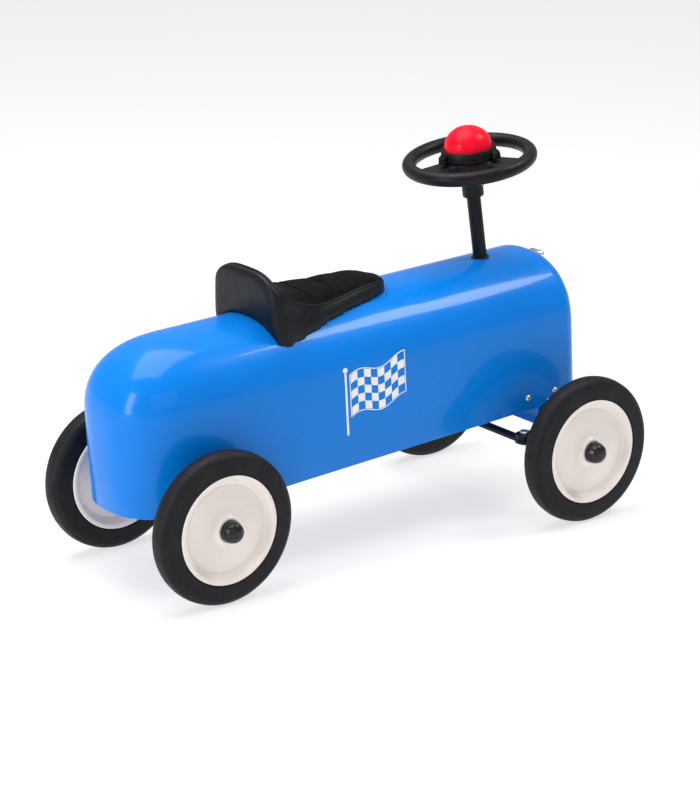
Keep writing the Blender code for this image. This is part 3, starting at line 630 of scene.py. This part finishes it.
def make_seat():
    shape = bmesh.new()
    places = [SEAT_BACK_X + (SEAT_FRONT_X - SEAT_BACK_X) * (k / 70) for k in range(71)]
    rings = [seat_ring(x) for x in places]
    made = [[shape.verts.new(point) for point in ring] for ring in rings]
    count = len(made[0])
    for first, second in zip(made, made[1:]):
        for k in range(count):
            n = (k + 1) % count
            shape.faces.new((first[k], first[n], second[n], second[k]))
    shape.faces.new(made[0][::-1])
    shape.faces.new(made[-1])
    obj = helper(to_mesh(shape))
    melt = obj.modifiers.new("melt", "REMESH")
    melt.mode = "VOXEL"
    melt.voxel_size = 0.003
    ease = obj.modifiers.new("ease", "SMOOTH")
    ease.factor = 0.5
    ease.iterations = 6
    mesh = settled(obj)
    mesh = puffed(mesh)
    obj = helper(mesh)
    settle = obj.modifiers.new("settle", "SMOOTH")
    settle.factor = 0.5
    settle.iterations = 9
    finer = obj.modifiers.new("finer", "SUBSURF")
    finer.levels = finer.render_levels = 2
    mesh = settled(obj)
    ups = [vert.normal.z for vert in mesh.vertices]
    for vert, up in zip(mesh.vertices, ups):
        x, y, z = vert.co
        floor = roof_z(x, y) + 0.0005
        half = station(min(max(x, SEAT_BACK_X), SEAT_FRONT_X))[0]
        if up > 0.35 and x > 0.15 and z > floor + 0.002:
            across = min(1.0, max(0.0, (half * 0.80 - abs(y)) / 0.004))
            along = min(1.0, max(0.0, (0.288 - x) / 0.006))
            dip = sum(math.exp(-(((x - s) / 0.0013) ** 2)) for s in SEAMS)
            swell = 0.0009 * abs(math.sin(math.pi * (x - SEAMS[0]) / SEAM_PITCH))
            vert.co.z += across * along * (swell - 0.0019 * dip)
        # the skirt's foot is pressed into the sheet, so that no gap shows under it
        height = vert.co.z - roof_z(x, y)
        if height < 0.008:
            vert.co.z = roof_z(x, y) - 0.0013 + max(0.0, height - 0.0015) * 1.43
    mesh.materials.append(SKIRT_VINYL)
    mesh.materials.append(PAD_VINYL)
    for face in mesh.polygons:
        x, y, z = face.center
        half = station(min(max(x, SEAT_BACK_X), SEAT_FRONT_X))[0]
        inside = x > 0.123 and abs(y) < half * 0.84 and x < 0.2915
        if inside and face.normal.z > 0.2 and z > body_height(x) - 0.004:
            face.material_index = 1
    mesh.shade_smooth()
    seat = piece("padded_seat", mesh, None, "chassis", BODY_FRAME, ("seat",))

    # piping round the top of the pad
    tree = BVHTree.FromPolygons([v.co for v in mesh.vertices], [p.vertices[:] for p in mesh.polygons])

    def on_top(x, y, lift):
        hit = tree.ray_cast(Vector((x, y, 0.30)), Vector((0, 0, -1)))[0]
        return Vector((x, y, (hit.z if hit else roof_z(x, y)) + lift))

    def edge_y(x):
        return station(min(x, SEAT_FRONT_X))[0] * 0.86

    right = []
    for k in range(90):
        x = 0.1245 + (PAD_FRONT_X - 0.1245) * (k / 89) ** 0.9
        right.append(on_top(x, -edge_y(x), 0.0003))
    tip = []
    for k in range(1, 8):
        turn = math.pi * k / 8
        spot = (PAD_FRONT_X + 0.0022 * math.sin(turn), -edge_y(PAD_FRONT_X) * math.cos(turn))
        tip.append(on_top(*spot, 0.0003))
    left = [Vector((p.x, -p.y, p.z)) for p in right[::-1]]
    back = [on_top(0.1235, edge_y(0.1245) * (1 - k / 12), 0.0002) for k in range(1, 24)]
    add_tube("seat_piping", eased(right + tip + left + back, 3, True), 0.00145, PIPING, True)


def eased(points, rounds, closed):
    for _ in range(rounds):
        count = len(points)
        made = list(points)
        for k in range(count):
            if not closed and k in (0, count - 1):
                continue
            made[k] = (points[k - 1] + points[k] * 2 + points[(k + 1) % count]) / 4
        points = made
    return points


def add_tube(name, points, radius, look, closed):
    curve = bpy.data.curves.new(name, "CURVE")
    curve.dimensions = "3D"
    curve.bevel_depth = radius
    curve.bevel_resolution = 3
    curve.use_fill_caps = True
    line = curve.splines.new("POLY")
    line.points.add(len(points) - 1)
    for spot, point in zip(line.points, points):
        spot.co = (*point, 1.0)
    line.use_cyclic_u = closed
    line.use_smooth = True
    obj = helper(curve)
    mesh = settled(obj)
    mesh.shade_smooth()
    piece(name, mesh, look, "chassis", BODY_FRAME)


def puffed(mesh):
    """The seat's cover swollen by its foam, held where it lies on the body."""
    obj = helper(mesh)
    obj.name = "pad_cloth"
    held = obj.vertex_groups.new(name="held")
    start = [v.co.copy() for v in mesh.vertices]
    for vert in mesh.vertices:
        above = vert.co.z - roof_z(vert.co.x, vert.co.y)
        weight = 1.0 if above < 0.004 else max(0.0, 0.5 - above * 30)
        if vert.co.x < 0.118:
            weight = max(weight, 0.7)
        if weight > 0:
            held.add([vert.index], weight, "REPLACE")
    cloth = obj.modifiers.new("cloth", "CLOTH")
    settings = cloth.settings
    settings.quality = 5
    settings.mass = 0.3
    settings.use_pressure = True
    settings.uniform_pressure_force = 4.0
    settings.vertex_group_mass = "held"
    settings.effector_weights.gravity = 0.0
    scene = bpy.context.scene
    for step in range(1, 21):
        scene.frame_set(step)
    graph = bpy.context.evaluated_depsgraph_get()
    moved = bpy.data.meshes.new_from_object(obj.evaluated_get(graph))
    cap = 0.005
    for vert, home in zip(moved.vertices, start):
        shift = vert.co - home
        if shift.length > cap:
            vert.co = home + shift.normalized() * cap
    scene.frame_set(1)
    bpy.data.objects.remove(obj)
    return moved


# ---- steering wheel and horn ------------------------------------------------------------------------
def make_steering():
    circle = []
    for k in range(32):
        angle = 2 * math.pi * k / 32
        circle.append((0.069 + 0.008 * math.cos(angle), 0.008 * math.sin(angle)))
    piece("wheel_grip", turned(circle, 144, closed=True), MOULDED, "steering",
          WHEEL_FRAME, ("steering_wheel",), smooth=60)
    hub = bmesh.new()
    add_rod(hub, (0, 0, -0.0130), (0, 0, 0.0032), 0.0325, segments=96)
    add_rod(hub, (0, 0, -0.0435), (0, 0, -0.012), 0.0123, segments=64)
    add_rod(hub, (0, 0, -0.0180), (0, 0, -0.0125), 0.0215, segments=64, radius_end=0.0290)
    for angle in SPOKES:
        turn = Matrix.Rotation(angle, 4, "Z")
        add_block(hub, (0.015, -0.0145, -0.0045), (0.066, 0.0145, 0.0005), turn)
        add_block(hub, (0.015, -0.0025, -0.0095), (0.063, 0.0025, -0.0040), turn)
        boss = turn @ Vector((0.033, 0, -0.0190))
        add_rod(hub, boss, boss + Vector((0, 0, 0.016)), 0.0055, segments=32)
    mesh = moulded(hub, 0.0009, 5)
    bore = bmesh.new()
    add_rod(bore, (0, 0, -0.05), (0, 0, -0.0068), 0.0083, segments=48)
    mesh = less(mesh, bore)
    piece("wheel_spokes", mesh, MOULDED, "steering", WHEEL_FRAME, smooth=45)

    cup = rounded([
        (0.0, 0.0062, 0.0), (0.0279, 0.0062, 0.0004), (0.0279, 0.0152, 0.0004), (0.0285, 0.0157, 0.0005),
        (0.0301, 0.0157, 0.0010), (0.0312, 0.0120, 0.002), (0.0324, 0.0042, 0.0008), (0.0, 0.0040, 0.0),
    ], steps=4)
    base = turned(cup, 128)
    for angle in SPOKES:
        spot = Matrix.Rotation(angle, 4, "Z") @ Vector((0.0345, 0, 0.0042))
        corners = [(0.0, 0.0079, 0.0), (0.0046, 0.0079, 0.0012), (0.0055, 0.0, 0.0), (0.0, 0.0, 0.0)]
        lug = turned(rounded(corners, steps=4), 48)
        lug.transform(Matrix.Translation(spot))
        lug_mesh = to_mesh(lug)
        base.from_mesh(lug_mesh)
    piece("horn_cup", base, MOULDED, "steering", WHEEL_FRAME, ("horn_base",), smooth=40)

    ribs = (0.0062, 0.0088, 0.0114, 0.0140)

    def dome(radius):
        return 0.0135 + 0.0250 * max(0.0, 1 - (radius / 0.0272) ** 2.25) ** (1 / 2.25)

    outer = []
    for k in range(90):
        radius = 0.0272 * math.sin(math.pi / 2 * k / 89)
        lift = sum(0.00038 * math.exp(-(((radius - rib) / 0.00042) ** 2)) for rib in ribs)
        outer.append((radius, dome(radius) + lift))
    inner = [(0.0251, 0.0135), (0.0251, 0.0175), (0.0195, 0.0285), (0.0110, 0.0340), (0.0, 0.0360)]
    piece("horn_bulb_ribbed", turned(outer + inner, 128), RED, "horn_button",
          WHEEL_FRAME, ("horn_bulb",), smooth=60)
    profile = [(0.0, 0.0016, 0.0), (0.0026, 0.0013, 0.0008), (0.0032, 0.0, 0.0), (0.0, 0.0, 0.0)]
    for number, angle in enumerate(SPOKES):
        head = cross_head(profile, 0.0021, 0.0006, 0.0009)
        head.transform(Matrix.Translation(Matrix.Rotation(angle, 4, "Z") @ Vector((0.0348, 0, 0.0123))))
        piece(f"horn_screw_head_{number + 1}", head, POWDER, "steering",
              WHEEL_FRAME, (f"horn_screw_{number + 1}",), smooth=40)
    where = WHEEL_FRAME.inverted() @ middle("collar_screw")
    angle = math.atan2(where.y, where.x)
    profile = [(0.0, 0.0026, 0.0), (0.0028, 0.0020, 0.0010), (0.0034, 0.0, 0.0), (0.0, 0.0, 0.0)]
    head = cross_head(profile, 0.0022, 0.0007, 0.0013)
    out = Matrix.Rotation(angle, 4, "Z") @ Matrix.Translation((0.0128, 0, -0.028)) @ Matrix.Rotation(
        math.pi / 2, 4, "Y")
    head.transform(out)
    piece("collar_screw_head", head, ZINC, "steering", WHEEL_FRAME, ("collar_screw",), smooth=40)


def cross_head(profile, arm, width, depth):
    """A screw's domed head with a cross recess, its foot at the origin."""
    top = profile[0][1]
    cutter = bmesh.new()
    add_block(cutter, (-arm, -width, top - depth), (arm, width, top + 0.002))
    second = bmesh.new()
    add_block(second, (-width, -arm, top - depth), (width, arm, top + 0.002))
    return less(to_mesh(turned(rounded(profile, steps=4), 48)), cutter, second)


def make_column():
    low, high = -0.1548, 0.1058
    profile = [(0.0, high, 0.0), (0.0080, high, 0.0006), (0.0080, low, 0.0006), (0.0, low, 0.0)]
    piece("column_tube", turned(rounded(profile, steps=4), 64), POWDER, "steering",
          STEER_FRAME, ("steering_column",), smooth=40)


# ---- grille ---------------------------------------------------------------------------------------
def arch_ring(profile, foot, arc):
    """A frame round the nose's outline; profile is (inset, place along the body)."""
    shape = bmesh.new()
    rows = []
    for inset, x in profile:
        level = foot + inset
        row = []
        for _, py, pz in body_wall(BODY_NOSE_X, inset, arc, foot=level):
            row.append((x, py, pz))
        rows.append(row)
    grid(shape, rows, around=True, closed=True)
    bmesh.ops.remove_doubles(shape, verts=shape.verts, dist=0.00001)
    bmesh.ops.dissolve_degenerate(shape, dist=0.00001, edges=shape.edges)
    return shape


def make_grille():
    arc = power_arc(30, ARCH_POWER)
    face = BODY_NOSE_X + 0.0031
    front = face + 0.007
    profile = rounded([
        (0.0220, face, 0.0008), (0.0220, front - 0.0015, 0.003), (0.0260, front, 0.003),
        (0.0310, front - 0.0010, 0.003), (0.0340, front - 0.0040, 0.0015), (0.0340, face, 0.0008),
    ], closed=True, steps=5)
    piece("grille_frame", arch_ring(profile, -0.017, arc), CHROME, "chassis", BODY_FRAME,
          ("grille_surround",), smooth=40)
    back = BODY_NOSE_X + 0.0004
    inner = [(0.0262, back), (0.0262, back + 0.0023), (0.0350, back + 0.0023), (0.0350, back)]
    bars = arch_ring(inner, -0.017, power_arc(20, ARCH_POWER))
    for number in range(-4, 5):
        y = 0.0100 * number
        share = max(0.0, 1 - (abs(y) / (BODY_HALF - 0.034)) ** ARCH_POWER) ** (1 / ARCH_POWER)
        top = body_height(BODY_NOSE_X) - ARCH_H + (ARCH_H - 0.034) * share + 0.004
        add_rod(bars, (back + 0.0012, y, 0.0120), (back + 0.0012, y, top), 0.0016, segments=20)
    piece("grille_rods", bars, CHROME, "chassis", BODY_FRAME, ("grille_bars",), smooth=40)
    low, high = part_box("grille_cap")
    to_body = BODY_FRAME.inverted()
    centre = to_body @ ((low + high) / 2)
    cap = bmesh.new()
    low = (centre.x - 0.0046, -0.0118, centre.z - 0.0071)
    high = (centre.x + 0.0046, 0.0118, centre.z + 0.0071)
    add_block(cap, low, high)
    obj = helper(to_mesh(cap))
    soft = obj.modifiers.new("soft", "BEVEL")
    soft.width = 0.0040
    soft.segments = 6
    mesh = settled(obj)
    piece("grille_badge_blank", mesh, CHROME, "chassis", BODY_FRAME, ("grille_cap",), smooth=60)


# ---- side screws, kingpins and the kept solids ----------------------------------------------------------
def make_fasteners():
    profile = [(0.0, 0.0024, 0.0), (0.0026, 0.0019, 0.0012), (0.0038, 0.0, 0.0), (0.0, 0.0, 0.0)]
    head = cross_head(profile, 0.0024, 0.0006, 0.0011)
    head.shade_smooth()
    head.set_sharp_from_angle(angle=math.radians(35))
    for axle in ("front", "rear"):
        for word, side in (("right", -1), ("left", 1)):
            for number in (1, 2):
                node = f"{axle}_screw_{word}_{number}"
                low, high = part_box(node)
                spot = Vector(((low.x + high.x) / 2, side * (BODY_HALF + 0.0003), (low.z + high.z) / 2))
                place = Matrix.Translation(spot) @ Matrix.Rotation(-side * math.pi / 2, 4, "X")
                piece(f"{node}_head", head, ZINC, "chassis", place, (node,))
    profile = [
        (0.0, 0.0056, 0.0), (0.0045, 0.0054, 0.003), (0.0078, 0.0030, 0.003), (0.0086, 0.0, 0.0004),
        (0.0040, 0.0, 0.0), (0.0040, -0.0305, 0.0006), (0.0, -0.0305, 0.0),
    ]
    pin = to_mesh(turned(rounded(profile, steps=5), 64))
    pin.shade_smooth()
    pin.set_sharp_from_angle(angle=math.radians(40))
    for word in ("right", "left"):
        spot = middle(f"kingpin_{word}")
        place = Matrix.Translation((spot.x, spot.y, 0.1223))
        stands_for = (f"kingpin_{word}",)
        piece(f"kingpin_cap_{word}", pin, GLOSS_BLACK, "chassis", place, stands_for)

    kept = {
        CHASSIS_PAINT: ("front_saddle", "rear_saddle", "front_axle_beam"),
        POWDER: ("front_axle_bar", "knuckle_right", "knuckle_left", "tie_rod"),
        ZINC: (
            "rear_axle", "seat_bolt_1", "seat_bolt_2", "steering_crank", "kingpin_nut_right",
            "kingpin_nut_left", "stub_axle_right", "stub_axle_left", "tie_rod_rivet_right",
            "tie_rod_rivet_left",
        ),
        NYLON: (
            "column_upper_bush", "column_lower_bush", "horn_reed",
            "rear_spacer_right", "rear_spacer_left",
        ),
    }
    for look, names in kept.items():
        for name in names:
            mesh = frame["nodes"][name].data
            mesh.materials.clear()
            mesh.materials.append(look)


# ---- floor, light and camera ------------------------------------------------------------------------
def make_stage():
    shape = bmesh.new()
    grid(shape, [[(x, y, -0.0002) for y in range(-14, 15, 4)] for x in range(-14, 15, 4)])
    mesh = to_mesh(shape)
    mesh.materials.append(surface(
        "studio_floor", (0.37, 0.37, 0.37), (0.375, 0.375, 0.375), (0.6, 0.7), patch=2,
        specular=0.1,
    ))
    # a light table: the floor glows a little, so the shadow on it stays soft
    glow = mesh.materials[0].node_tree.nodes["Principled BSDF"]
    glow.inputs["Emission Color"].default_value = (1.0, 1.0, 1.0, 1.0)
    glow.inputs["Emission Strength"].default_value = 0.66
    floor = bpy.data.objects.new("studio_floor", mesh)
    bpy.context.scene.collection.objects.link(floor)

    world = bpy.data.worlds.new("studio")
    bpy.context.scene.world = world
    world.use_nodes = True
    world.node_tree.nodes["Background"].inputs["Color"].default_value = (1.0, 1.0, 1.0, 1.0)
    world.node_tree.nodes["Background"].inputs["Strength"].default_value = 0.38

    def softbox(name, place, aim, size, power):
        light = bpy.data.lights.new(name, "AREA")
        light.shape = "RECTANGLE"
        light.size, light.size_y = size
        light.energy = power
        obj = bpy.data.objects.new(name, light)
        obj.location = place
        obj.rotation_euler = (Vector(aim) - Vector(place)).to_track_quat("-Z", "Y").to_euler()
        bpy.context.scene.collection.objects.link(obj)

    softbox("key", (1.15, -0.55, 1.75), (0.0, 0, 0.2), (0.55, 0.55), 14)
    softbox("top", (-0.3, 0.5, 2.4), (0, 0, 0.2), (2.2, 1.8), 56)
    softbox("front", (-1.2, -2.4, 1.3), (0, 0, 0.2), (2.0, 1.4), 6)
    softbox("tail", (-2.2, -0.2, 0.8), (-0.3, 0, 0.2), (0.5, 1.4), 20)

    bpy.context.scene.view_settings.view_transform = "Standard"

    lens = bpy.data.cameras.new("camera")
    lens.lens = 130.0
    lens.sensor_width = 36.0
    lens.sensor_fit = "AUTO"
    lens.clip_end = 50
    camera = bpy.data.objects.new("camera", lens)
    a, e = math.radians(-36.86), math.radians(18.0)
    back = Vector((math.sin(a) * math.cos(e), -math.cos(a) * math.cos(e), math.sin(e)))
    camera.location = Vector((REAR_X + 0.249, 0.001, 0.1497)) + back * 3.253
    camera.rotation_euler = (-back).to_track_quat("-Z", "Y").to_euler()
    bpy.context.scene.collection.objects.link(camera)
    bpy.context.scene.camera = camera


make_body()
make_motif(-1, "right")
make_motif(1, "left")
make_wheels()
make_seat()
make_steering()
make_column()
make_grille()
make_fasteners()
make_stage()

bpy.context.view_layer.update()
